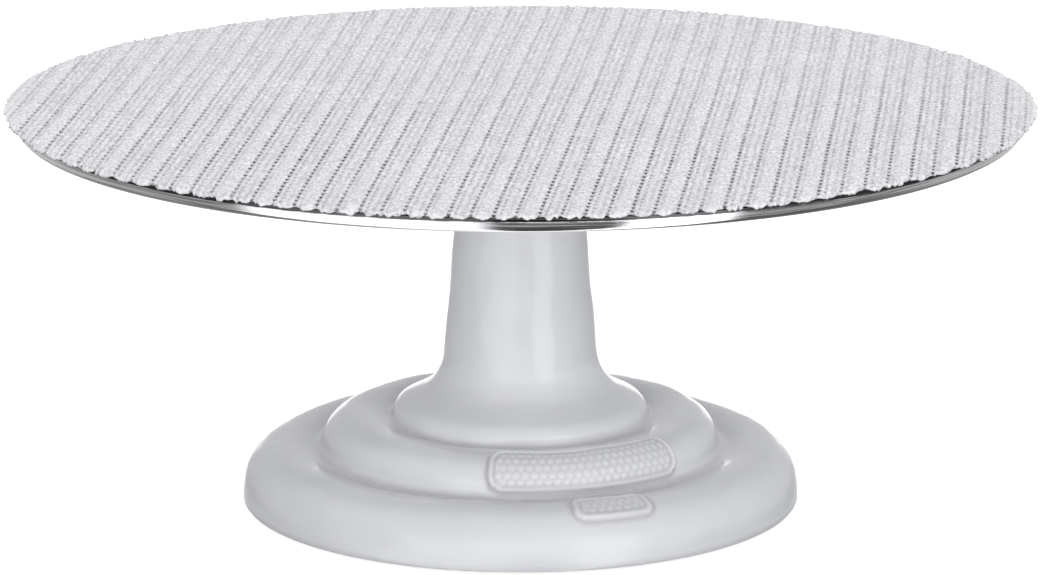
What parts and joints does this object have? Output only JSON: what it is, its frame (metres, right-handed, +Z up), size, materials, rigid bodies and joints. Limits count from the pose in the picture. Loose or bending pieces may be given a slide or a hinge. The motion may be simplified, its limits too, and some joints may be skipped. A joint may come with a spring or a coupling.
{
  "type": "cake turntable",
  "caption": "Round cake turntable: an aluminium plate with a loose white grip pad turns on a spindle in a stepped, white-enamelled cast pedestal.",
  "frame": {"origin": "on the table top under the rubber feet, at the spin axis", "axes": "+Z up along the spin axis; +X and +Y lie in the table plane, between the feet and along the pedestal's ribs"},
  "size_m": [0.3126, 0.3126, 0.1252],
  "materials": {
    "enamel": "glossy white-grey enamel paint over cast iron, slight cast texture",
    "plate_aluminium": "turned, with a polished edge",
    "pad_fabric": "white soft foam-coated knit, ribbed and perforated, matt",
    "bronze": "oil-filled sintered bronze",
    "steel": "ground steel",
    "hardened_steel": "polished hardened steel",
    "dark_steel": "black oxide steel",
    "zinc_steel": "bright zinc plated steel",
    "rubber": "black moulded rubber",
    "felt": "grey pressed wool felt",
    "nylon": "natural nylon"
  },
  "bodies": {
    "base": {"base_casting": "enamel", "upper_bush": "bronze", "lower_bush": "bronze", "dust_seal": "felt", "wear_washer": "nylon", "thrust_seat": "hardened_steel", "adjusting_plug": "zinc_steel", "plug_o_ring": "rubber", "lock_nut": "zinc_steel", "rubber_feet": "rubber", "foot_screws": "zinc_steel", "foot_washers": "zinc_steel"},
    "pivot_ball": {"thrust_ball": "hardened_steel"},
    "turntable": {"turntable_plate": "plate_aluminium", "hub_flange": "plate_aluminium", "hub_screws": "dark_steel", "hub_spring_washers": "dark_steel", "spindle": "steel", "spindle_pin": "dark_steel"},
    "grip_pad": {"non_slip_pad": "pad_fabric"}
  },
  "joints": [
    {"name": "turntable_spin", "type": "hinge", "parent": "base", "child": "pivot_ball", "pos_m": [0, 0, 0.032], "axis": [0, 0, 1], "continuous": true},
    {"name": "turntable_lift_off", "type": "slide", "parent": "pivot_ball", "child": "turntable", "axis": [0, 0, 1], "range_m": [0, 0.075]},
    {"name": "pad_lift_off", "type": "slide", "parent": "turntable", "child": "grip_pad", "axis": [0, 0, 1], "range_m": [0, 0.06]}
  ]
}
